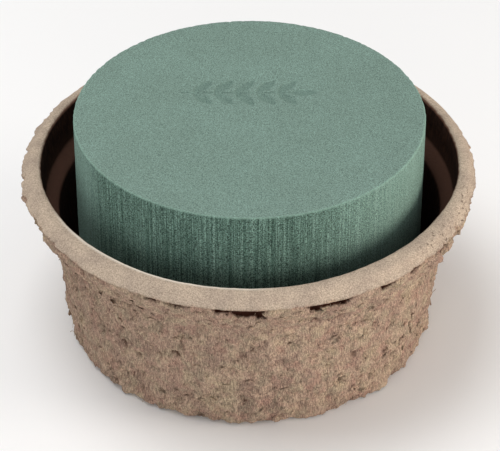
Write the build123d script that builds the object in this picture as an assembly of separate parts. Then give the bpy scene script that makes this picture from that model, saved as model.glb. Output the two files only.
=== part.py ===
"""Floral foam cylinder seated in a bowl of moulded paper pulp.

The bowl is one moulded shell: a foot ring, a drafted wall, an inward ledge, a flared collar and a broad
rim that slopes down to a rounded lip. Its floor has a raised middle panel, so that water can run under the
edge of the foam. The foam is one cut cylinder with a shallow imprint on top. It stands on the panel, is
centred by the wall and lifts straight out. Everything follows outwards from the foam's diameter.

Millimetres, +Z up, origin at the centre of the bowl's foot.
"""

from build123d import *
import os
from math import cos, radians, tan

# ---------------------------------------------------------------- foam cylinder
foam_diameter = 144.5
foam_height = 96.5

# ---------------------------------------------------------------- bowl, heights
bowl_height = 80.0
collar_depth = 15.5      # from the rim's inner edge down to the ledge
ledge_drop = 4.5         # height of the sloping ledge
panel_rise = 2.5         # the floor's middle panel stands this far above the channel round it
rim_drop = 3.6           # from the top of the rim down to the top of its lip
lip_height = 1.8         # the lip's upright face

# ---------------------------------------------------------------- bowl, widths
seat_clearance = 0.9     # between the foam's lower edge and the wall, on the radius
ledge_width = 5.5
rim_width = 8.0
lip_return = 2.2         # how far the underside runs in from the lip before it flares down
channel_width = 12.0     # water channel between the wall and the raised panel
foot_ring_width = 9.0

# ---------------------------------------------------------------- bowl, thickness, drafts and rounds
wall = 3.6
wall_draft = 7.0         # degrees from upright
collar_draft = 6.6       # degrees from upright
flare_tail = 6.0         # the outer flare meets the wall this far below the ledge
inner_corner_radius = 4.0
foot_radius = 4.0
rim_edge_round = 1.0
rim_crown_radius = 6.0
lip_radius = 0.8
ledge_round = 1.5
flare_round = 14.0

# ---------------------------------------------------------------- imprint on the foam
imprint_depth = 0.8
imprint_offset = 16.0    # from the foam's axis, towards +Y
sprig_length = 56.0
stem_width = 1.1
leaf_pairs = 5
leaf_length = 12.0
leaf_width = 4.6
leaf_angle = 48.0        # degrees between a leaf and the stem


# ---------------------------------------------------------------- values that follow
foam_radius = foam_diameter / 2
seat_height = wall + panel_rise
collar_bottom = bowl_height - collar_depth
ledge_bottom = collar_bottom - ledge_drop
flare_bottom = ledge_bottom - flare_tail


def wall_inner_radius(height):
    """Inside radius of the lower wall, which is set by the foam standing in it."""
    return foam_radius + seat_clearance + (height - seat_height) * tan(radians(wall_draft))


def wall_outer_radius(height):
    """Outside radius of the lower wall, one wall thickness further out."""
    return wall_inner_radius(height) + wall / cos(radians(wall_draft))


ledge_inner_radius = wall_inner_radius(ledge_bottom)
ledge_outer_radius = ledge_inner_radius + ledge_width
rim_inner_radius = ledge_outer_radius + collar_depth * tan(radians(collar_draft))
rim_outer_radius = rim_inner_radius + rim_width
lip_top = bowl_height - rim_drop
lip_bottom = lip_top - lip_height


def bowl_outline():
    """The bowl's half section as a closed face in the XZ plane, inside first, from the axis outwards."""
    channel_outer = wall_inner_radius(wall)
    panel_edge = channel_outer - channel_width
    foot_outer = wall_outer_radius(0)
    recess_edge = foot_outer - foot_radius - foot_ring_width
    axis_top = (0, seat_height)
    panel_top = (panel_edge - panel_rise, seat_height)
    channel_inner_corner = (panel_edge, wall)
    channel_outer_corner = (channel_outer, wall)
    ledge_inner_corner = (ledge_inner_radius, ledge_bottom)
    ledge_outer_corner = (ledge_outer_radius, collar_bottom)
    rim_inner_corner = (rim_inner_radius, bowl_height)
    rim_crown = (rim_outer_radius - rim_drop, bowl_height)
    lip_top_corner = (rim_outer_radius, lip_top)
    lip_bottom_corner = (rim_outer_radius, lip_bottom)
    lip_inner_corner = (rim_outer_radius - lip_return, lip_bottom - lip_radius)
    flare_corner = (wall_outer_radius(flare_bottom), flare_bottom)
    foot_corner = (foot_outer, 0)
    recess_corner = (recess_edge, 0)
    recess_top = (recess_edge - panel_rise, panel_rise)
    axis_bottom = (0, panel_rise)

    corners = [
        axis_top, panel_top, channel_inner_corner, channel_outer_corner, ledge_inner_corner,
        ledge_outer_corner, rim_inner_corner, rim_crown, lip_top_corner, lip_bottom_corner,
        lip_inner_corner, flare_corner, foot_corner, recess_corner, recess_top, axis_bottom,
    ]
    rounds = {
        panel_top: panel_rise / 2,
        channel_inner_corner: panel_rise / 2,
        channel_outer_corner: inner_corner_radius,
        ledge_inner_corner: ledge_round,
        ledge_outer_corner: ledge_round,
        rim_inner_corner: rim_edge_round,
        rim_crown: rim_crown_radius,
        lip_top_corner: lip_radius,
        lip_bottom_corner: lip_radius,
        flare_corner: flare_round,
        foot_corner: foot_radius,
        recess_corner: panel_rise / 2,
        recess_top: panel_rise / 2,
    }
    with BuildSketch() as section:
        with BuildLine():
            Polyline(*corners, close=True)
        make_face()
        for corner, radius in rounds.items():
            fillet(section.vertices().sort_by_distance(corner)[0], radius)
    return Plane.XZ * section.sketch


def pulp_bowl():
    """The moulded shell, turned from its half section."""
    return revolve(bowl_outline(), axis=Axis.Z)


def leaf():
    """A pointed leaf between two arcs, with its stalk at the origin and its tip along +X."""
    with BuildSketch() as shape:
        with BuildLine():
            ThreePointArc((0, 0), (leaf_length / 2, leaf_width / 2), (leaf_length, 0))
            ThreePointArc((leaf_length, 0), (leaf_length / 2, -leaf_width / 2), (0, 0))
        make_face()
    return shape.sketch


def sprig():
    """A plain leafy sprig: a straight stem with leaves in pairs and one more at its end."""
    stem_length = sprig_length - leaf_length
    start = -sprig_length / 2
    outline = Pos(start + stem_length / 2, 0) * Rectangle(stem_length + stem_width, stem_width)
    outline += Pos(start + stem_length, 0) * leaf()
    for pair in range(leaf_pairs):
        along = start + stem_length * (pair + 0.5) / leaf_pairs
        for side in (-1, 1):
            outline += Pos(along, 0) * Rot(0, 0, side * leaf_angle) * leaf()
    return outline


def foam_cylinder():
    """The foam, standing on the bowl's raised panel, with the sprig pressed into its top."""
    upright = (Align.CENTER, Align.CENTER, Align.MIN)
    body = Pos(0, 0, seat_height) * Cylinder(foam_radius, foam_height, align=upright)
    floor_of_imprint = seat_height + foam_height - imprint_depth
    pressed = Pos(0, imprint_offset, floor_of_imprint) * extrude(sprig(), amount=2 * imprint_depth)
    return body - pressed


os.makedirs("parts", exist_ok=True)
for name, shape in {"pulp_bowl": pulp_bowl(), "foam_cylinder": foam_cylinder()}.items():
    export_step(shape, f"parts/{name}.step")
    print(name, "volume", round(shape.volume / 1000, 1), "cm3")
radii = {
    "rim": (rim_inner_radius, rim_outer_radius),
    "ledge": (ledge_inner_radius, ledge_outer_radius),
    "wall at the foot": (wall_inner_radius(0), wall_outer_radius(0)),
}
for name, (inner, outer) in radii.items():
    print(name, "radii", round(inner, 2), round(outer, 2))
print("foam stands", round(seat_height + foam_height - bowl_height, 2), "above the rim")
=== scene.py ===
"""Looks for the florist's foam cylinder standing in its bowl of moulded paper pulp."""

import math
import random

import bmesh
import bpy
from mathutils import Matrix, Vector, noise
from mathutils.bvhtree import BVHTree


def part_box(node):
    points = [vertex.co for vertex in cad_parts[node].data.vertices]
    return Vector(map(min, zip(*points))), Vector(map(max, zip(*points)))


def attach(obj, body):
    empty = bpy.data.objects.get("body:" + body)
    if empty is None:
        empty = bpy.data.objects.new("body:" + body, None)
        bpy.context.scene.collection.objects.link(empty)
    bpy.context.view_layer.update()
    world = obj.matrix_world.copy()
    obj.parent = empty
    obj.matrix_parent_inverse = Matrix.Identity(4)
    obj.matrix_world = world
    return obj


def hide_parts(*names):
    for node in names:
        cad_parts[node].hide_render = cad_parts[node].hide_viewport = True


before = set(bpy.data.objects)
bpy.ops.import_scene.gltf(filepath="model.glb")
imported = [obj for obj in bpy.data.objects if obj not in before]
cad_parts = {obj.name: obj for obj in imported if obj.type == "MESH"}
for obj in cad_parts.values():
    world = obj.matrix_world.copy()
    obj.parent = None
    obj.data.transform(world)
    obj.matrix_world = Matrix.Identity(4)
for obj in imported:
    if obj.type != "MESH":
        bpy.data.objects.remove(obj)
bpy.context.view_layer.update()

MM = 0.001
rng = random.Random(20)
# the vector noise takes its offsets from this seed, and from the clock where none is set
noise.seed_set(20)

# ------------------------------------------------------------------ sizes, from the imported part
_, bowl_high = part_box("pulp_bowl")
foam_low, foam_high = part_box("foam_cylinder")
RIM_RADIUS = bowl_high.x
BOWL_TOP = bowl_high.z
FOAM_RADIUS = foam_high.x
FOAM_TOP = foam_high.z
FOAM_FOOT = foam_low.z
SEAT_GAP = 0.9 * MM
WALL = 3.6 * MM
PANEL_RISE = FOAM_FOOT - WALL
DRAFT = math.tan(math.radians(7.0))
COLLAR_DEPTH = 15.5 * MM
LEDGE_WIDTH = 5.5 * MM
LEDGE_DROP = 4.5 * MM
LEDGE_TOP = BOWL_TOP - COLLAR_DEPTH
LEDGE_FOOT = LEDGE_TOP - LEDGE_DROP
RIM_WIDTH = 8.0 * MM
RIM_DEPTH = 5.4 * MM
LIP_FACE = 0.8 * MM
LIP_FOOT = BOWL_TOP - RIM_DEPTH
LIP_TOP = LIP_FOOT + LIP_FACE

# steps round the axis for each turned piece, a multiple of the sectors that a turn is made of
DOUBLINGS = 5
SECTORS = 2 ** DOUBLINGS
SHELL_STEPS = 640
ROUGH_STEPS = 672
FOAM_STEPS = 480


# ------------------------------------------------------------------ camera
def aim(thing, place, target):
    """Puts a camera or light at a place, looking at the target."""
    thing.location = place
    thing.rotation_euler = (Vector(target) - Vector(place)).to_track_quat("-Z", "Y").to_euler()


LOOK_AT = Vector((0.2 * MM, 0, 45.5 * MM))
camera = bpy.data.objects.new("camera", bpy.data.cameras.new("camera"))
bpy.context.scene.collection.objects.link(camera)
elevation = math.radians(36.6)
camera_distance = 1.04
aim(camera, LOOK_AT + camera_distance * Vector((0, -math.cos(elevation), math.sin(elevation))), LOOK_AT)
camera.data.sensor_width = 36
camera.data.lens = 176.6
camera.data.clip_end = 20
bpy.context.scene.camera = camera


# ------------------------------------------------------------------ material helpers
def linear(hex_colour):
    """An sRGB hex colour as linear RGBA."""
    parts = [int(hex_colour[i:i + 2], 16) / 255 for i in (1, 3, 5)]
    return [c / 12.92 if c <= 0.04045 else ((c + 0.055) / 1.055) ** 2.4 for c in parts] + [1.0]


def add(tree, kind, settings, **links):
    """Adds a node. Settings go to its properties, its inputs' values or the stops of its colour ramp. Links
    join its inputs, by name or as _0 and _1 by number, to a node's first output in use or a given output."""
    node = tree.nodes.new(kind)
    for key, value in settings.items():
        if key == "stops":
            elements = node.color_ramp.elements
            while len(elements) < len(value):
                elements.new(0.5)
            for element, (position, colour) in zip(elements, value):
                element.position = position
                element.color = linear(colour) if isinstance(colour, str) else [colour, colour, colour, 1]
        elif isinstance(key, str) and hasattr(node, key):
            setattr(node, key, value)
        else:
            node.inputs[key].default_value = linear(value) if isinstance(value, str) else value
    for key, source in links.items():
        socket = node.inputs[int(key[1:])] if key[0] == "_" else node.inputs[key.replace("_", " ")]
        if isinstance(source, bpy.types.Node):
            source = [output for output in source.outputs if output.enabled][0]
        tree.links.new(source, socket)
    return node


def new_material(name, **surface):
    """A material whose node tree holds only a shader, with its plain surface values, and an output."""
    material = bpy.data.materials.new(name)
    material.use_nodes = True
    tree = material.node_tree
    tree.nodes.clear()
    values = {key.replace("_", " "): value for key, value in surface.items()}
    shader = add(tree, "ShaderNodeBsdfPrincipled", values)
    add(tree, "ShaderNodeOutputMaterial", {}, Surface=shader)
    return material, tree, shader


def per_mm(size):
    """Texture scale that makes one pattern cell about size millimetres across."""
    return 1.0 / (size * MM)


BLEND = "ShaderNodeMix"
RAMP = "ShaderNodeValToRGB"
NOISE = "ShaderNodeTexNoise"
MATHS = "ShaderNodeMath"
PLACE = "ShaderNodeMapping"
ATTRIBUTE = "ShaderNodeAttribute"
COLOURS = {"data_type": "RGBA"}
OVERLAY = {"data_type": "RGBA", "blend_type": "OVERLAY"}


# ------------------------------------------------------------------ materials
def pulp_material():
    """Moulded paper pulp, as in egg boxes: grey-brown recycled fibre, vacuum formed on a mesh. The side that
    met the tool is smooth and pale; the far side dried freely and is felted and lumpy, with rosy, grey and
    olive patches where different waste paper lies. The inside is painted dark brown, darkest deep down as
    painted shade; hollows and cracks get painted shade, and raised spots and the rim's inner edge painted
    highlights."""
    material, tree, shader = new_material(
        "moulded_paper_pulp", Roughness=0.92, IOR=1.47, Specular_IOR_Level=0.1)
    coords = add(tree, "ShaderNodeTexCoord", {}).outputs["Object"]
    pressed = add(tree, ATTRIBUTE, {"attribute_name": "pressed"}).outputs["Fac"]
    inside = add(tree, ATTRIBUTE, {"attribute_name": "inside"}).outputs["Fac"]
    hollow = add(tree, ATTRIBUTE, {"attribute_name": "hollow"}).outputs["Fac"]
    pocked = add(tree, ATTRIBUTE, {"attribute_name": "pocked"}).outputs["Fac"]

    # clumps of different waste paper, 5 to 10 mm across
    clumps = add(tree, NOISE, {"Scale": per_mm(9), "Detail": 4.0, "Roughness": 0.65}, Vector=coords)
    clumps = add(tree, RAMP, {"stops": [(0.36, "#977E6F"), (0.5, "#AA917E"), (0.64, "#AD9981")]}, Fac=clumps)
    place = add(tree, PLACE, {"Location": (3, 1, 2)}, Vector=coords)
    rosy = add(tree, NOISE, {"Scale": per_mm(7), "Detail": 4.0, "Roughness": 0.65}, Vector=place)
    rosy = add(tree, RAMP, {"stops": [(0.5, 0.0), (0.62, 0.42)]}, Fac=rosy)
    clumps = add(tree, BLEND, {**COLOURS, 7: "#9E786B"}, _0=rosy, _6=clumps)
    place = add(tree, PLACE, {"Location": (7, 5, 1)}, Vector=coords)
    ashen = add(tree, NOISE, {"Scale": per_mm(6), "Detail": 4.0, "Roughness": 0.65}, Vector=place)
    ashen = add(tree, RAMP, {"stops": [(0.5, 0.0), (0.62, 0.55)]}, Fac=ashen)
    clumps = add(tree, BLEND, {**COLOURS, 7: "#988A75"}, _0=ashen, _6=clumps)

    # single fibres in three directions, drawn 0.55 mm wide so that they show, and specks of ink and lint
    fibres = None
    for lean in (0.4, 1.35, -0.8):
        leaning = {"Rotation": (lean, lean, 0), "Scale": (1, 1, 0.2), "Location": (lean, 0, 0)}
        place = add(tree, PLACE, leaning, Vector=coords)
        strands = {"Scale": per_mm(0.55), "Detail": 1.0, "Roughness": 0.6, "Distortion": 0.5}
        layer = add(tree, NOISE, strands, Vector=place)
        fibres = layer if fibres is None else add(tree, MATHS, {"operation": "MAXIMUM"}, _0=fibres, _1=layer)
    felt = add(tree, RAMP, {"stops": [(0.49, 0.24), (0.57, 0.56), (0.67, 0.94)]}, Fac=fibres)
    specks = add(tree, NOISE, {"Scale": per_mm(0.55), "Detail": 2.0, "Roughness": 0.85}, Vector=coords)
    grain = add(tree, RAMP, {"stops": [(0.34, 0.16), (0.5, 0.5), (0.66, 0.84)]}, Fac=specks)
    rough_colour = add(tree, BLEND, {**OVERLAY, 0: 0.5}, _6=clumps, _7=felt)
    rough_colour = add(tree, BLEND, {**OVERLAY, 0: 0.42}, _6=rough_colour, _7=grain)
    # painted shade: hollows, cracks and torn gaps are painted dark brown; painted highlight: high spots and
    # loose bits are painted paler
    painted_hollow_shade = add(tree, RAMP, {"stops": [(0.0, 1.0), (0.36, 0.0)]}, Fac=hollow)
    rough_colour = add(tree, BLEND, {**COLOURS, 7: "#43261C"}, _0=painted_hollow_shade, _6=rough_colour)
    raised = add(tree, RAMP, {"stops": [(0.55, 0.0), (0.9, 0.3)]}, Fac=hollow)
    rough_colour = add(tree, BLEND, {**COLOURS, 7: "#C4AE97"}, _0=raised, _6=rough_colour)

    # the side that met the tool: even and pale, with pinholes of about 0.6 mm where it is pocked, painted
    # dark brown as the shade inside them
    pale = add(tree, NOISE, {"Scale": per_mm(9), "Detail": 3.0, "Roughness": 0.5}, Vector=coords)
    pale = add(tree, RAMP, {"stops": [(0.35, "#A99888"), (0.65, "#B9A794")]}, Fac=pale)
    pale = add(tree, BLEND, {**OVERLAY, 0: 0.5}, _6=pale, _7=grain)
    # painted highlight: the rim's inner edge is painted much lighter where it is sharp and catches the light
    edge_highlight = add(tree, RAMP, {"stops": [(0.55, 0.0), (0.9, 0.6)]}, Fac=hollow)
    pale = add(tree, BLEND, {**COLOURS, 7: "#F2EADC"}, _0=edge_highlight, _6=pale)
    holes = add(tree, NOISE, {"Scale": per_mm(1.3), "Detail": 1.0, "Roughness": 0.5}, Vector=coords)
    holes = add(tree, RAMP, {"stops": [(0.64, 0.0), (0.69, 0.65)]}, Fac=holes)
    holes = add(tree, MATHS, {"operation": "MULTIPLY"}, _0=holes, _1=pocked)
    pale = add(tree, BLEND, {**COLOURS, 7: "#4A372C"}, _0=holes, _6=pale)

    # the inside's darkest colour, very dark brown, streaked down its height where pulp ran off the tool
    place = add(tree, PLACE, {"Scale": (1, 1, 0.4)}, Vector=coords)
    streaks = add(tree, NOISE, {"Scale": per_mm(2), "Detail": 4.0, "Roughness": 0.75}, Vector=place)
    streaks = add(tree, RAMP, {"stops": [(0.3, "#190D0A"), (0.5, "#25140E"), (0.7, "#382116")]}, Fac=streaks)

    colour = add(tree, BLEND, COLOURS, _0=pressed, _6=rough_colour, _7=pale)
    # painted shade: the inside is painted dark brown, darkest deep down, with a lighter brown just below the
    # rim's edge and on the ledge
    dark_inside = add(tree, RAMP, {"stops": [(0.0, 0.0), (0.65, 1.0)]}, Fac=inside)
    painted_deep_shade = add(tree, RAMP, {"stops": [(0.8, 0.0), (1.0, 1.0)]}, Fac=inside)
    brown = add(tree, BLEND, {**COLOURS, 6: "#604439"}, _0=painted_deep_shade, _7=streaks)
    colour = add(tree, BLEND, COLOURS, _0=dark_inside, _6=colour, _7=brown)
    tree.links.new(colour.outputs[2], shader.inputs["Base Color"])

    # relief: matted fibre at 1.1 mm under the single fibres, much flatter where the tool pressed it
    matted = add(tree, NOISE, {"Scale": per_mm(1.1), "Detail": 4.0, "Roughness": 0.75}, Vector=coords)
    relief = add(tree, MATHS, {"operation": "MULTIPLY_ADD", 1: 0.8}, _0=fibres, _2=matted)
    flatter = add(tree, RAMP, {"stops": [(0.0, 1.0), (1.0, 0.3)]}, Fac=pressed)
    relief = add(tree, MATHS, {"operation": "MULTIPLY"}, _0=relief, _1=flatter)
    relief = add(tree, MATHS, {"operation": "SUBTRACT"}, _0=relief, _1=holes)
    bump = add(tree, "ShaderNodeBump", {"Strength": 1.0, "Distance": 1.0 * MM}, Height=relief)
    tree.links.new(bump.outputs[0], shader.inputs["Normal"])
    return material


def foam_material():
    """Open-celled phenolic foam, cut with a wire: dry, matt and slightly dusty, with paler cells along the
    cut edge, partly squashed cells and partly a painted highlight, and fine upright lines on the side where
    the cutter passed. The front and back of the side, where the lines are, are painted darker, partly as
    painted shade, and the sprig's dent is painted darker as painted shade."""
    material, tree, shader = new_material(
        "phenolic_floral_foam", Roughness=0.96, IOR=1.5, Specular_IOR_Level=0.15)
    coords = add(tree, "ShaderNodeTexCoord", {}).outputs["Object"]
    side = add(tree, ATTRIBUTE, {"attribute_name": "side"}).outputs["Fac"]
    edge = add(tree, ATTRIBUTE, {"attribute_name": "edge"}).outputs["Fac"]
    dent = add(tree, ATTRIBUTE, {"attribute_name": "dent"}).outputs["Fac"]
    lined = add(tree, ATTRIBUTE, {"attribute_name": "lined"}).outputs["Fac"]

    # open cells, really about 0.2 mm, drawn at 0.5 mm so that they show
    cells = add(tree, NOISE, {"Scale": per_mm(0.5), "Detail": 2.0, "Roughness": 0.8}, Vector=coords)
    grain = add(tree, RAMP, {"stops": [(0.38, 0.12), (0.5, 0.5), (0.62, 0.88)]}, Fac=cells)
    drift = add(tree, NOISE, {"Scale": per_mm(22), "Detail": 2.0, "Roughness": 0.5}, Vector=coords)
    top = add(tree, RAMP, {"stops": [(0.35, "#758C82"), (0.65, "#789086")]}, Fac=drift)
    top = add(tree, BLEND, {**OVERLAY, 0: 0.52}, _6=top, _7=grain)
    # cutter lines, under 1 mm apart and running down half the foam's height or more, with a few deeper scores
    place = add(tree, PLACE, {"Scale": (1, 1, 0.016)}, Vector=coords)
    lines = add(tree, NOISE, {"Scale": per_mm(0.75), "Detail": 3.0, "Roughness": 0.7}, Vector=place)
    smooth = add(tree, RAMP, {"stops": [(0.3, "#6C877C"), (0.7, "#7E998E")]}, Fac=lines)
    cut = add(tree, RAMP, {"stops": [(0.34, "#3F564C"), (0.5, "#587166"), (0.66, "#718C80")]}, Fac=lines)
    scores = add(tree, NOISE, {"Scale": per_mm(2.4), "Detail": 1.0, "Roughness": 0.5}, Vector=place)
    scores = add(tree, RAMP, {"stops": [(0.68, 0.0), (0.73, 0.45)]}, Fac=scores)
    cut = add(tree, BLEND, {**COLOURS, 7: "#2E4239"}, _0=scores, _6=cut)
    # painted shade: where the cutter lines are, the side takes the darker cut colours, so its front comes out
    # darker and its left and right paler
    cut = add(tree, BLEND, COLOURS, _0=lined, _6=smooth, _7=cut)
    torn = add(tree, MATHS, {"operation": "MULTIPLY_ADD", 1: 0.5, 2: 0.5}, _0=lined)
    cut = add(tree, BLEND, OVERLAY, _0=torn, _6=cut, _7=grain)
    colour = add(tree, BLEND, COLOURS, _0=side, _6=top, _7=cut)
    # the cut edge is painted paler: partly squashed cells, partly a painted highlight
    crushed_and_highlit = add(tree, MATHS, {"operation": "MULTIPLY", 1: 0.4}, _0=edge)
    colour = add(tree, BLEND, {**COLOURS, 7: "#93B3A3"}, _0=crushed_and_highlit, _6=colour)
    # painted shade: the sprig's dent is painted darker
    pressed = add(tree, MATHS, {"operation": "MULTIPLY", 1: 0.3}, _0=dent)
    colour = add(tree, BLEND, {**COLOURS, 7: "#50695F"}, _0=pressed, _6=colour)
    tree.links.new(colour.outputs[2], shader.inputs["Base Color"])

    relief = add(tree, MATHS, {"operation": "MULTIPLY"}, _0=lines, _1=lined)
    relief = add(tree, MATHS, {"operation": "MULTIPLY_ADD", 1: 0.8}, _0=relief, _2=cells)
    bump = add(tree, "ShaderNodeBump", {"Strength": 0.9, "Distance": 0.35 * MM}, Height=relief)
    tree.links.new(bump.outputs[0], shader.inputs["Normal"])
    return material


def floor_material():
    """Matt white card."""
    material, tree, shader = new_material("white_card", Roughness=0.9, Specular_IOR_Level=0.1)
    coords = add(tree, "ShaderNodeTexCoord", {}).outputs["Object"]
    mottle = add(tree, NOISE, {"Scale": per_mm(300), "Detail": 2.0}, Vector=coords)
    tint = add(tree, RAMP, {"stops": [(0.3, "#F4F4F4"), (0.7, "#F7F7F7")]}, Fac=mottle)
    tree.links.new(tint.outputs[0], shader.inputs["Base Color"])
    return material


PULP = pulp_material()
FOAM = foam_material()


# ------------------------------------------------------------------ mesh helpers
def finish_piece(bm, name, material, body):
    """Turns the bmesh into a smooth-shaded piece that rides on a body."""
    mesh = bpy.data.meshes.new(name)
    bm.to_mesh(mesh)
    bm.free()
    for polygon in mesh.polygons:
        polygon.use_smooth = True
    mesh.materials.append(material)
    piece = bpy.data.objects.new(name, mesh)
    bpy.context.scene.collection.objects.link(piece)
    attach(piece, body)
    return piece


def section(bm, corners, closed=False):
    """A half section in the XZ plane through corners given as (radius, height, rounding in millimetres)."""
    verts = [bm.verts.new((r, 0, z)) for r, z, _ in corners]
    for first, second in zip(verts, verts[1:] + verts[:1] if closed else verts[1:]):
        bm.edges.new((first, second))
    for vert, (_, _, rounding) in zip(verts, corners):
        if rounding:
            round_off(bm, vert, rounding * MM)


def round_off(bm, vert, radius):
    """Rounds the corner that a line makes at a vertex."""
    one, other = [(e.other_vert(vert).co - vert.co).normalized() for e in vert.link_edges]
    offset = radius / math.tan(one.angle(other) / 2)
    bmesh.ops.bevel(bm, geom=[vert], offset=offset, offset_type="OFFSET", affect="VERTICES",
                    segments=5 if radius > 2 * MM else 3, profile=0.5, material=-1)


def divide(bm, step_at):
    """Divides each edge of a line so that none is longer than step_at(its middle)."""
    for edge in list(bm.edges):
        middle = (edge.verts[0].co + edge.verts[1].co) / 2
        cuts = math.ceil(edge.calc_length() / step_at(middle)) - 1
        if cuts > 0:
            bmesh.ops.subdivide_edges(bm, edges=[edge], cuts=cuts)


def turn(bm, steps):
    """Spins the line through one sector of a turn, then doubles it until it goes all the way round."""
    sector = 2 * math.pi / SECTORS
    bmesh.ops.spin(bm, geom=bm.verts[:] + bm.edges[:], cent=(0, 0, 0), axis=(0, 0, 1),
                   angle=sector, steps=steps // SECTORS, use_merge=False, use_duplicate=False)
    for doubling in range(DOUBLINGS):
        copy = bmesh.ops.duplicate(bm, geom=bm.verts[:] + bm.edges[:] + bm.faces[:])["geom"]
        turned = [part for part in copy if isinstance(part, bmesh.types.BMVert)]
        rotation = Matrix.Rotation(sector * 2 ** doubling, 3, "Z")
        bmesh.ops.rotate(bm, cent=(0, 0, 0), matrix=rotation, verts=turned)
    bmesh.ops.remove_doubles(bm, verts=bm.verts, dist=0.02 * MM)
    bmesh.ops.recalc_face_normals(bm, faces=bm.faces)


def smoothstep(low, high, value):
    """0 below low, 1 above high, smooth between; low may be above high."""
    t = min(1.0, max(0.0, (value - low) / (high - low)))
    return t * t * (3 - 2 * t)


# ------------------------------------------------------------------ the bowl
def wall_inside(height):
    """Inside radius of the lower wall."""
    return FOAM_RADIUS + SEAT_GAP + (height - FOAM_FOOT) * DRAFT


LEDGE_IN = wall_inside(LEDGE_FOOT)
RIM_IN = RIM_RADIUS - RIM_WIDTH
WALL_OUT = WALL / math.cos(math.atan(DRAFT))
FLARE_HEIGHT = 6 * MM
FLARE_FOOT = LEDGE_FOOT - FLARE_HEIGHT
FOOT = wall_inside(0) + WALL_OUT
FOOT_RING = 13 * MM
RECESS = FOOT - FOOT_RING
CHANNEL_WIDTH = 12 * MM

# the outside of the shell's core, which the rough side covers: its radii from the foot up, and its bottom
CORE_FOOT = FOOT - 2 * MM
CORE_FLARE = wall_inside(FLARE_FOOT) + 1.8 * MM
CORE_LEDGE = LEDGE_IN + 6.6 * MM
CORE_LIP = RIM_RADIUS - 5 * MM
CORE_BOTTOM = 1.8 * MM

# what the shade-and-highlight attribute says on a level surface: less is painted darker, as painted shade in
# hollows, more is painted paler, as a painted highlight where raised
LEVEL = 0.5

# torn hollows under the lip: azimuth and half width in degrees, height in millimetres
HOLLOWS = [(-90.5, 4.8, 3.9), (-97, 2, 2.6), (-107.5, 3.2, 1.2), (-69, 4.6, 3.0), (-74, 1.4, 3.8),
           (-54, 3.0, 3.2), (-45.2, 1.3, 3.0), (-24, 1.2, 3.4), (-28.5, 1.0, 3.0), (-34, 1.0, 3.2),
           (-114, 1.6, 2.0), (-130.5, 1.2, 2.2), (-12, 2.5, 3.0), (9, 1.6, 3.0), (31, 3.5, 3.2),
           (64, 2.2, 2.6), (97, 4.5, 3.4), (128, 2.0, 3.0), (151, 3.6, 3.0), (176, 1.6, 2.8),
           (-158, 2.4, 3.0)]
# lumps of pulp squeezed out under the lip: azimuth and half width in degrees, reach in millimetres
LUMPS = [(-38.5, 2.4, 3.2), (-31, 1.6, 1.8), (-143, 2.6, 1.8), (-84, 2.0, 0.8), (-152, 1.6, 1.0),
         (12, 2.4, 1.2), (80, 2.0, 1.4), (140, 2.6, 1.2), (-170, 2.0, 0.6)]
# sheets of pulp that overlap on the outside: size in millimetres, shift of the pattern, thickness
SHEETS = [(9, (1, 5, 2), 0.5), (6.5, (8, 2, 6), 0.44), (4.2, (4, 9, 7), 0.38)]


def degrees_round(co):
    """Azimuth of a point about the bowl's axis, in degrees."""
    return math.degrees(math.atan2(co.y, co.x))


def near(azimuth, features):
    """The largest height or reach that listed features have at an azimuth, in millimetres. A feature is full
    in the middle and fades out just past its half width."""
    most = 0.0
    for centre, half, amount in features:
        away = abs((azimuth - centre + 180) % 360 - 180)
        most = max(most, amount * smoothstep(half * 1.25, half * 0.45, away))
    return most


def rim_wander(co):
    """How far the worn outer edge of the rim moves out, and up, at a point, in metres. The edge is trimmed on
    the right and at the left front, and least worn across the front."""
    flat = Vector((co.x, co.y, 0)) / MM
    wander = noise.fractal(flat / 9, 0.6, 2.0, 4)
    notch = smoothstep(0.2, 0.36, noise.noise(flat / 5 + Vector((5, 5, 1))))
    azimuth = degrees_round(co)
    trimmed = 1.1 * smoothstep(80, 40, abs(azimuth - 12)) + 0.9 * smoothstep(18, 8, abs(azimuth + 149))
    worn = 0.3 + 0.7 * smoothstep(35, 65, abs(azimuth + 95))
    teeth = noise.noise(flat / 1.8 + Vector((1, 9, 3)))
    out = (wander * 0.8 - notch * 1.0 + teeth * 0.4) * worn - trimmed
    return out * MM, 0.5 * MM * worn * noise.noise(flat / 6 + Vector((0, 0, 4)))


def inner_edge_wander(co):
    """How far the rim's inner edge stands in towards the foam, in metres, where pulp gathered on the tool."""
    azimuth = degrees_round(co)
    front = smoothstep(0.3, -0.3, co.y / RIM_IN)
    gathered = 1.3 * smoothstep(38, 8, abs(azimuth + 44)) + 0.6 * smoothstep(30, 10, abs(azimuth + 140))
    below = smoothstep(BOWL_TOP - 7 * MM, BOWL_TOP - 1 * MM, co.z)
    at_edge = smoothstep(RIM_IN + 5 * MM, RIM_IN + 1.5 * MM, math.hypot(co.x, co.y))
    return (0.5 * front + gathered) * below * at_edge * MM


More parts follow.
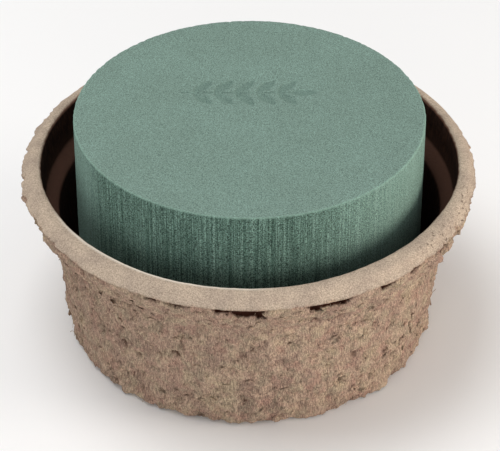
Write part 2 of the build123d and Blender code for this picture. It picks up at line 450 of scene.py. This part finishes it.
def make_shell():
    """The pressed side of the bowl as a closed shell: floor, inside, rim, lip and the core of its wall."""
    bm = bmesh.new()
    channel = wall_inside(WALL)
    panel = channel - CHANNEL_WIDTH
    rim_crown = RIM_RADIUS - 4.2 * MM
    lip_back = LIP_FOOT - 0.4 * MM
    rim_from = LIP_FOOT - 0.3 * MM
    section(bm, [
        (0, FOAM_FOOT, 0), (panel - PANEL_RISE, FOAM_FOOT, 1.2), (panel, WALL, 1.2), (channel, WALL, 4),
        (LEDGE_IN, LEDGE_FOOT, 2.2), (LEDGE_IN + LEDGE_WIDTH, LEDGE_TOP, 2.2), (RIM_IN, BOWL_TOP, 1.5),
        (rim_crown, BOWL_TOP, 3.5), (RIM_RADIUS, LIP_TOP, 0.6), (RIM_RADIUS, LIP_FOOT, 0.4),
        (CORE_LIP, lip_back, 0), (CORE_LEDGE, LEDGE_TOP, 0), (CORE_FLARE, FLARE_FOOT, 0),
        (CORE_FOOT, CORE_BOTTOM, 0), (RECESS, CORE_BOTTOM, 0),
        (RECESS - PANEL_RISE, PANEL_RISE, 0), (0, PANEL_RISE, 0),
    ])

    def step(co):
        if co.z > rim_from:
            return 0.8 * MM if co.x > RIM_IN - 0.5 * MM else 1.6 * MM
        return 2.5 * MM if co.z > LEDGE_FOOT and co.x < LEDGE_IN + 6 * MM else 7 * MM
    divide(bm, step)
    turn(bm, SHELL_STEPS)
    bm.normal_update()
    names = ("pressed", "inside", "hollow", "pocked")
    pressed, inside, hollow, pocked = [bm.verts.layers.float.new(name) for name in names]
    moves = []
    for vert in bm.verts:
        co = vert.co
        outward = Vector((co.x, co.y, 0)).normalized()
        radius = math.hypot(co.x, co.y)
        under = co.z < PANEL_RISE + 0.3 * MM
        move = vert.normal * (0.4 if under else 0.12) * MM * noise.fractal(co / (5 * MM), 0.8, 2.0, 3)
        if radius > RIM_IN + 3 * MM and co.z > rim_from:
            edge = smoothstep(RIM_RADIUS - 3.5 * MM, RIM_RADIUS, radius)
            out, up = rim_wander(co)
            move += outward * out * edge
            move.z += edge * up
        move -= outward * inner_edge_wander(co)
        moves.append(move)
        ragged = noise.noise(co / (2.2 * MM))
        worn = smoothstep(LIP_FOOT - 0.2 * MM, LIP_TOP + 0.4 * MM, co.z + 0.8 * MM * ragged)
        lip = radius > RIM_RADIUS - 5.5 * MM and co.z > LIP_FOOT - 1 * MM
        # painted shade: the inside's dark colour reaches further over the rim's edge at the back, where the
        # rounded inner edge is in shade
        shade_reach = (0.2 + 2.0 * smoothstep(0, 0.8, outward.y)) * MM
        past_edge = radius - RIM_IN - 0.5 * (BOWL_TOP - co.z)
        inside_darkness = smoothstep(shade_reach, -0.8 * MM, past_edge + 0.4 * MM * ragged)
        # painted light: the ledge is painted less dark, as lit from above
        on_ledge = smoothstep(LEDGE_FOOT - 1 * MM, LEDGE_FOOT + 1 * MM, co.z)
        on_ledge *= smoothstep(LEDGE_TOP + 1.5 * MM, LEDGE_TOP - 0.5 * MM, co.z)
        inside_darkness *= 1 - 0.15 * on_ledge
        # the rim is pocked at the front right
        pinholes = smoothstep(20, 10, abs(degrees_round(co) + 26))
        pinholes *= smoothstep(RIM_IN + 2 * MM, RIM_IN + 4 * MM, radius)
        # painted highlight: the sharp inner edge is painted pale on the left of the front, where it catches
        # the light
        edge_highlight = smoothstep(1.2 * MM, 0.45 * MM, abs(past_edge - 0.95 * MM))
        edge_highlight *= smoothstep(42, 25, abs(degrees_round(co) + 118))
        vert[pressed] = 0.6 if under else worn if lip else 1.0
        vert[inside] = 0.0 if under else inside_darkness
        vert[hollow] = LEVEL + 0.4 * edge_highlight
        vert[pocked] = pinholes if lip else 0.0
    for vert, move in zip(bm.verts, moves):
        vert.co += move
    return finish_piece(bm, "pulp_shell", PULP, "bowl")


def core_radius(height):
    """Radius of the shell's core at a height, which the rough side always covers."""
    points = [(0, CORE_FOOT), (FLARE_FOOT, CORE_FLARE), (LEDGE_TOP, CORE_LEDGE), (LIP_FOOT, CORE_LIP)]
    for (low, start), (high, end) in zip(points, points[1:]):
        if height <= high:
            return start + (end - start) * max(0.0, height - low) / (high - low)
    return points[-1][1]


def pulp_relief(co):
    """How far the freely dried pulp stands out at a point, and how deep a crack is there, in millimetres."""
    p = co / MM
    fray = noise.noise_vector(p / 2.2) * 0.2 + noise.noise_vector(p / 5) * 0.3
    height = 0.8 * noise.fractal(p / 13, 0.9, 2.0, 2)
    height += 0.75 * noise.fractal(p / 4.6 + fray * 0.5, 0.7, 2.0, 2)
    for size, shift, thick in SHEETS:
        sheet = noise.noise(p / size + fray * 0.8 + Vector(shift))
        height += thick * (smoothstep(-0.04, 0.07, sheet) - 0.5)
    height += 0.25 * noise.fractal(p / 1.9, 0.7, 2.0, 2)
    # lumps that ran down to the foot
    height += 0.75 * smoothstep(0.12, 0.5, noise.noise(p / 7 + Vector((9, 2, 5)))) * smoothstep(17, 5, p.z)
    # cracks run mostly upright, in patches, and there are more of them at the left front
    leftward = smoothstep(25, 5, abs(degrees_round(co) + 130))
    line = abs(noise.noise(Vector((p.x / 4, p.y / 4, p.z / 11)) + fray * 0.6 + Vector((31, 7, 5))))
    patch = noise.noise(Vector((p.x / 6, p.y / 6, p.z / 8)) + Vector((3, 17, 9)))
    where = smoothstep(0.32, 0.44, patch + 0.3 * leftward)
    crack = smoothstep(0.1, 0.03, line) * where
    return height, crack


def make_rough_side():
    """Makes the freely dried side of the bowl, from under the lip to round the foot, as a closed shell, and
    gives back a search tree of its surface."""
    bm = bmesh.new()
    flare = wall_inside(FLARE_FOOT)
    section(bm, [
        (RIM_RADIUS - 3.4 * MM, LIP_FOOT + 0.9 * MM, 0), (RIM_RADIUS - 0.5 * MM, LIP_FOOT + 0.4 * MM, 0.6),
        (RIM_RADIUS - 1.0 * MM, LIP_FOOT - 1.6 * MM, 2), (RIM_RADIUS - 2.9 * MM, LIP_FOOT - 5.2 * MM, 6),
        (flare + WALL_OUT, FLARE_FOOT, 14), (FOOT, 0, 4), (RECESS, 0, 1), (RECESS - 0.8 * MM, 2.4 * MM, 0),
        (RECESS + 2 * MM, 2.6 * MM, 0), (FOOT - 2.6 * MM, 2.6 * MM, 0), (flare + 1.4 * MM, FLARE_FOOT, 0),
        (LEDGE_IN + 6.3 * MM, LEDGE_TOP, 0), (RIM_RADIUS - 5.4 * MM, LIP_FOOT - 0.6 * MM, 0),
    ], closed=True)

    def step(co):
        if co.x > core_radius(co.z) + 0.5 * MM and co.z > 0.1 * MM:
            return 0.78 * MM
        return 1.8 * MM if co.z < 0.1 * MM else 8 * MM
    divide(bm, step)
    turn(bm, ROUGH_STEPS)
    bm.normal_update()
    hollow = bm.verts.layers.float.new("hollow")
    moves = []
    for vert in bm.verts:
        co = vert.co.copy()
        outward = Vector((co.x, co.y, 0)).normalized()
        radius = math.hypot(co.x, co.y)
        core = core_radius(co.z)
        if radius < core + 0.5 * MM and co.z > 0.5 * MM:
            moves.append(Vector())
            vert[hollow] = LEVEL
            continue
        azimuth = degrees_round(co)
        ragged = noise.noise(co / (5 * MM) + Vector((2, 8, 3))) + 0.7 * noise.noise(co / (1.9 * MM))
        height, crack = pulp_relief(co)
        depth = LIP_FOOT - co.z
        below = smoothstep(-0.6 * MM, 1.2 * MM, depth)
        move = vert.normal * height * below * MM
        move -= outward * 0.8 * MM * crack * below
        torn = 0.0
        if depth < 9 * MM:
            tall = 1.45 * near(azimuth + 1.8 * ragged, HOLLOWS) * MM
            deep = depth + 2.8 * MM * ragged
            torn = smoothstep(0.3 * MM, 1.8 * MM, tall) * smoothstep(tall + 0.6 * MM, tall - 0.4 * MM, deep)
            move = move * (1 - torn) - outward * 2.9 * MM * torn
            lump = near(azimuth + 0.6 * ragged, LUMPS) * MM
            lump *= smoothstep(7 * MM, 3 * MM, deep + 0.7 * MM * ragged)
            move += outward * lump * smoothstep(0, 1.5 * MM, depth)
            move += outward * rim_wander(co)[0] * smoothstep(6 * MM, 0, depth)
        if co.z < 1.2 * MM:
            move.z = max(move.z, 0) * 0.3
        moved = co + move
        short = core + 0.35 * MM - math.hypot(moved.x, moved.y)
        if short > 0 and co.z > 3 * MM:
            move += outward * short
        moves.append(move)
        # painted shade in cracks and torn gaps, painted highlight on high spots
        vert[hollow] = LEVEL + 0.2 * height - 0.26 * crack - torn
    for vert, move in zip(bm.verts, moves):
        vert.co += move
        vert.co.z = max(vert.co.z, 0)
    bm.normal_update()
    surface = BVHTree.FromBMesh(bm)
    finish_piece(bm, "rough_pulp", PULP, "bowl")
    return surface


def flake_pattern():
    """A torn flake of pulp, 2 to 4 mm long before it is scaled, thin, flat and uneven round its edge."""
    bm = bmesh.new()
    made = bmesh.ops.create_circle(bm, cap_ends=True, segments=8, radius=1 * MM)["verts"]
    stretch = rng.uniform(1.0, 2.0)
    for vert in made:
        vert.co *= rng.uniform(0.6, 1.2)
        vert.co.x *= stretch
    raised = bmesh.ops.extrude_face_region(bm, geom=[made[0].link_faces[0]])["geom"]
    top = [part for part in raised if isinstance(part, bmesh.types.BMVert)]
    lid = [part for part in raised if isinstance(part, bmesh.types.BMFace)]
    bmesh.ops.translate(bm, verts=top, vec=(0, 0, rng.uniform(0.15, 0.3) * MM))
    bmesh.ops.poke(bm, faces=lid, offset=rng.uniform(0, 0.15) * MM)
    for vert in bm.verts:
        vert.co.z += rng.uniform(-0.06, 0.06) * MM
    bmesh.ops.recalc_face_normals(bm, faces=bm.faces)
    return bm


def fibre_pattern():
    """A single fibre or bundle of paper fibres, gently curved, 2 to 6 mm long."""
    bm = bmesh.new()
    facing = Matrix.Rotation(math.pi / 2, 4, "Y")
    bmesh.ops.create_circle(bm, segments=3, radius=rng.uniform(0.06, 0.12) * MM, matrix=facing)
    bend = rng.uniform(2.5, 9) * MM
    length = rng.uniform(2, 6) * MM
    bmesh.ops.spin(bm, geom=bm.verts[:] + bm.edges[:], cent=(0, bend, 0), axis=(0, 0, 1),
                   angle=length / bend, steps=5, use_merge=False, use_duplicate=False)
    bmesh.ops.holes_fill(bm, edges=bm.edges, sides=3)
    bmesh.ops.translate(bm, verts=bm.verts, vec=(-length / 2, 0, 0))
    bmesh.ops.recalc_face_normals(bm, faces=bm.faces)
    return bm


def scatter(name, surface, pattern, patterns, count, heights, sizes, lift, paleness):
    """Makes many small loose bits over the rough side, each one of a few patterns, turned and tilted by
    chance. A bit that would reach the floor is moved up."""
    clear_of_bowl = 0.2  # in metres, where the ray that finds the surface starts
    raised_by = 0.04  # in millimetres, off the surface
    least_height = 0.2 * MM
    shapes = []
    for _ in range(patterns):
        bm = pattern()
        shapes.append(bpy.data.meshes.new(name + "_pattern"))
        bm.to_mesh(shapes[-1])
        bm.free()
    bm = bmesh.new()
    for _ in range(count):
        azimuth = rng.uniform(-math.pi, math.pi)
        height = rng.uniform(*heights)
        inward = Vector((-math.cos(azimuth), -math.sin(azimuth), 0))
        place, normal, _, _ = surface.ray_cast(-inward * clear_of_bowl + Vector((0, 0, height)), inward)
        facing = normal.to_track_quat("Z", "Y").to_matrix().to_4x4()
        spin = Matrix.Rotation(rng.uniform(0, 2 * math.pi), 4, "Z")
        tilt = Matrix.Rotation(math.radians(rng.uniform(*lift)), 4, "X")
        size = Matrix.Scale(rng.uniform(*sizes), 4)
        first = len(bm.verts)
        bm.from_mesh(rng.choice(shapes))
        bm.verts.ensure_lookup_table()
        matrix = Matrix.Translation(place + normal * raised_by * MM) @ facing @ spin @ tilt @ size
        bmesh.ops.transform(bm, matrix=matrix, verts=bm.verts[first:])
        sunk = min(vert.co.z for vert in bm.verts[first:]) - least_height
        if sunk < 0:
            bmesh.ops.translate(bm, verts=bm.verts[first:], vec=(0, 0, -sunk))
    # painted highlight: every bit carries one value above LEVEL, which paints it paler like a raised spot
    hollow = bm.verts.layers.float.new("hollow")
    for vert in bm.verts:
        vert[hollow] = paleness
    finish_piece(bm, name, PULP, "bowl")


# ------------------------------------------------------------------ the foam
def make_foam():
    """The cut foam, with the sprig pressed into its top."""
    bm = bmesh.new()
    section(bm, [
        (0, FOAM_TOP, 0), (FOAM_RADIUS, FOAM_TOP, 0.4), (FOAM_RADIUS, FOAM_FOOT, 0.4), (0, FOAM_FOOT, 0),
    ])
    # cuts at three radii and one height, so that only the ring under the sprig and the edge are made fine
    sprig_from, sprig_to = 8 * MM, 34 * MM
    edge_from = FOAM_RADIUS - 2 * MM
    edge_foot = FOAM_TOP - 2 * MM
    top_face = FOAM_TOP - 0.1 * MM
    cuts = [((ring, 0, 0), (1, 0, 0)) for ring in (sprig_from, sprig_to, edge_from)]
    for point, normal in cuts + [((0, 0, edge_foot), (0, 0, 1))]:
        bmesh.ops.bisect_plane(bm, geom=bm.verts[:] + bm.edges[:], plane_co=point, plane_no=normal)

    def step(co):
        if co.z < FOAM_FOOT + 0.4 * MM:
            return 6 * MM
        if co.z < edge_foot:
            return 2.4 * MM
        if sprig_from < co.x < sprig_to:
            return 0.4 * MM
        return 0.5 * MM if co.x > edge_from else 2.4 * MM
    divide(bm, step)
    turn(bm, FOAM_STEPS)
    bm.normal_update()
    names = ("side", "edge", "dent", "lined")
    side, edge, dent, lined = [bm.verts.layers.float.new(name) for name in names]
    for vert in bm.verts:
        co = vert.co.copy()
        radius = math.hypot(co.x, co.y)
        outward = Vector((co.x, co.y, 0)).normalized()
        on_side = smoothstep(FOAM_RADIUS - 0.6 * MM, FOAM_RADIUS, radius)
        upright = Vector((co.x / (2.6 * MM), co.y / (2.6 * MM), co.z / (90 * MM)))
        vert.co += outward * on_side * 0.16 * MM * noise.fractal(upright, 0.7, 2.0, 3)
        near_top = smoothstep(FOAM_TOP - 0.9 * MM, FOAM_TOP - 0.2 * MM, co.z)
        near_top *= smoothstep(FOAM_RADIUS - 0.8 * MM, FOAM_RADIUS - 0.1 * MM, radius)
        crumble = max(0.0, noise.noise(co / (1.9 * MM)))
        vert.co -= (outward * 0.5 + Vector((0, 0, 0.5))) * near_top * crumble * 0.7 * MM
        pressed = sprig_depth(co) if co.z > top_face and radius < 40 * MM else 0.0
        vert.co.z -= 0.75 * MM * pressed
        if co.z > top_face:
            vert.co.z += 0.05 * MM * noise.fractal(co / (3 * MM), 0.7, 2.0, 3)
        vert[side] = on_side
        # the cutter left its lines on the front and the back of the side, and hardly any on the rest; this
        # mask also paints those parts darker, partly as painted shade
        azimuth = degrees_round(co)
        front = smoothstep(-156, -141, azimuth) * smoothstep(-30, -85, azimuth)
        back = smoothstep(40, 75, azimuth) * smoothstep(165, 130, azimuth)
        vert[lined] = on_side * (0.15 + 0.85 * max(front, back))
        vert[edge] = near_top
        vert[dent] = pressed
    return finish_piece(bm, "cut_foam", FOAM, "foam")


def sprig_depth(co):
    """How fully the sprig presses at a point of the foam's top, from 0 to 1."""
    length, leaf_length, leaf_width, stem = 56 * MM, 12 * MM, 4.6 * MM, 1.1 * MM
    pairs, spread, behind_middle = 5, 48, 16 * MM
    x, y = co.x + length / 2, co.y - behind_middle
    stalk = length - leaf_length
    wobble = 0.3 * MM * noise.noise(co / (1.2 * MM))
    within = stem / 2 - abs(y) if -stem / 2 < x < stalk else -1
    leaves = [(stalk, 0.0)]
    for pair in range(pairs):
        leaves += [(stalk * (pair + 0.5) / pairs, math.radians(turned * spread)) for turned in (-1, 1)]
    for along, angle in leaves:
        u = (x - along) * math.cos(angle) + y * math.sin(angle)
        v = -(x - along) * math.sin(angle) + y * math.cos(angle)
        if 0 < u < leaf_length:
            within = max(within, leaf_width / 2 * math.sin(math.pi * u / leaf_length) - abs(v))
    within += wobble
    # the foam has sprung back a little, more in some places than in others
    sprung = 0.2 + 0.3 * noise.noise(co / (3.5 * MM) + Vector((4, 4, 1)))
    return smoothstep(-0.3 * MM, 0.4 * MM, within) * (1 - sprung)


shell = make_shell()
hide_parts("pulp_bowl")
rough_surface = make_rough_side()
WALL_HEIGHTS = (2.5 * MM, LIP_FOOT - 2 * MM)
scatter("torn_flakes", rough_surface, flake_pattern, 12, 700, WALL_HEIGHTS, (0.5, 1.5), (2, 11), 0.6)
scatter("loose_fibres", rough_surface, fibre_pattern, 12, 900, WALL_HEIGHTS, (0.7, 1.3), (-8, 8), 0.75)
foam = make_foam()
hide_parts("foam_cylinder")


# ------------------------------------------------------------------ floor and light
floor_bm = bmesh.new()
bmesh.ops.create_grid(floor_bm, x_segments=2, y_segments=2, size=4)
floor_mesh = bpy.data.meshes.new("floor")
floor_bm.to_mesh(floor_mesh)
floor_bm.free()
floor_mesh.materials.append(floor_material())
floor = bpy.data.objects.new("floor", floor_mesh)
bpy.context.scene.collection.objects.link(floor)


def softbox(name, azimuth, height, distance, size, power, tint):
    """A square area light. Azimuth 0 is in front, 90 to the right; height is its elevation in degrees."""
    light = bpy.data.lights.new(name, "AREA")
    light.size = size
    light.energy = power
    light.color = linear(tint)[:3]
    lamp = bpy.data.objects.new(name, light)
    bpy.context.scene.collection.objects.link(lamp)
    a, e = math.radians(azimuth), math.radians(height)
    place = Vector((math.sin(a) * math.cos(e), -math.cos(a) * math.cos(e), math.sin(e))) * distance
    aim(lamp, place + Vector((0, 0, 0.05)), (0, 0, 0.05))


softbox("right_key", 78, 9, 1.2, 0.5, 9.0, "#FFF5EA")
softbox("front_low", -5, 9, 1.2, 0.7, 3.9, "#FFFFFF")
softbox("overhead", -100, 73, 1.2, 0.8, 8.4, "#FFFFFF")

world = bpy.data.worlds.new("studio")
world.use_nodes = True
world.node_tree.nodes["Background"].inputs[0].default_value = linear("#F8F8F8")
world.node_tree.nodes["Background"].inputs[1].default_value = 0.5
bpy.context.scene.world = world
bpy.context.scene.view_settings.view_transform = "Standard"
